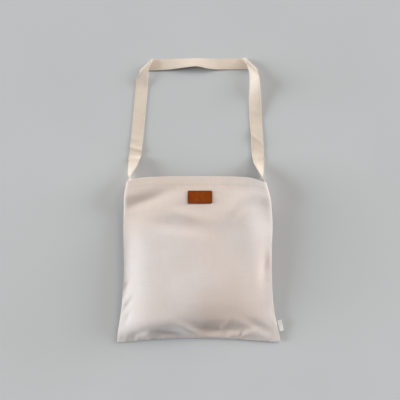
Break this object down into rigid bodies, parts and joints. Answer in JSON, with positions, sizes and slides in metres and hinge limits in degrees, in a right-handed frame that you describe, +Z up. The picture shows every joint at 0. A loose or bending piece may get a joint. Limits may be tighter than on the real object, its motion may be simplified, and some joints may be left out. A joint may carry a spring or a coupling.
{
  "type": "calico shoulder bag",
  "caption": "Flat calico shoulder bag lying on its back, softly filled out, with an open mouth, a flat shoulder strap, a small leather patch and a folded side tag.",
  "frame": {"origin": "middle of the flat back face, on the surface that the bag lies on", "axes": "+X to the right across the bag, +Y from the bottom seam towards the mouth and strap, +Z up from the surface through the front"},
  "size_m": [0.3882, 0.7018, 0.0689],
  "materials": {
    "calico": "plain unbleached weave, matte",
    "strap_calico": "plain unbleached weave, stitched flat, matte",
    "patch_leather": "tan brown, soft sheen, darker cut edge",
    "tag_cloth": "white woven ribbon"
  },
  "bodies": {
    "root": {"front_panel": "calico", "back_panel": "calico", "strap": "strap_calico", "leather_patch": "patch_leather", "side_tag": "tag_cloth"}
  },
  "joints": []
}
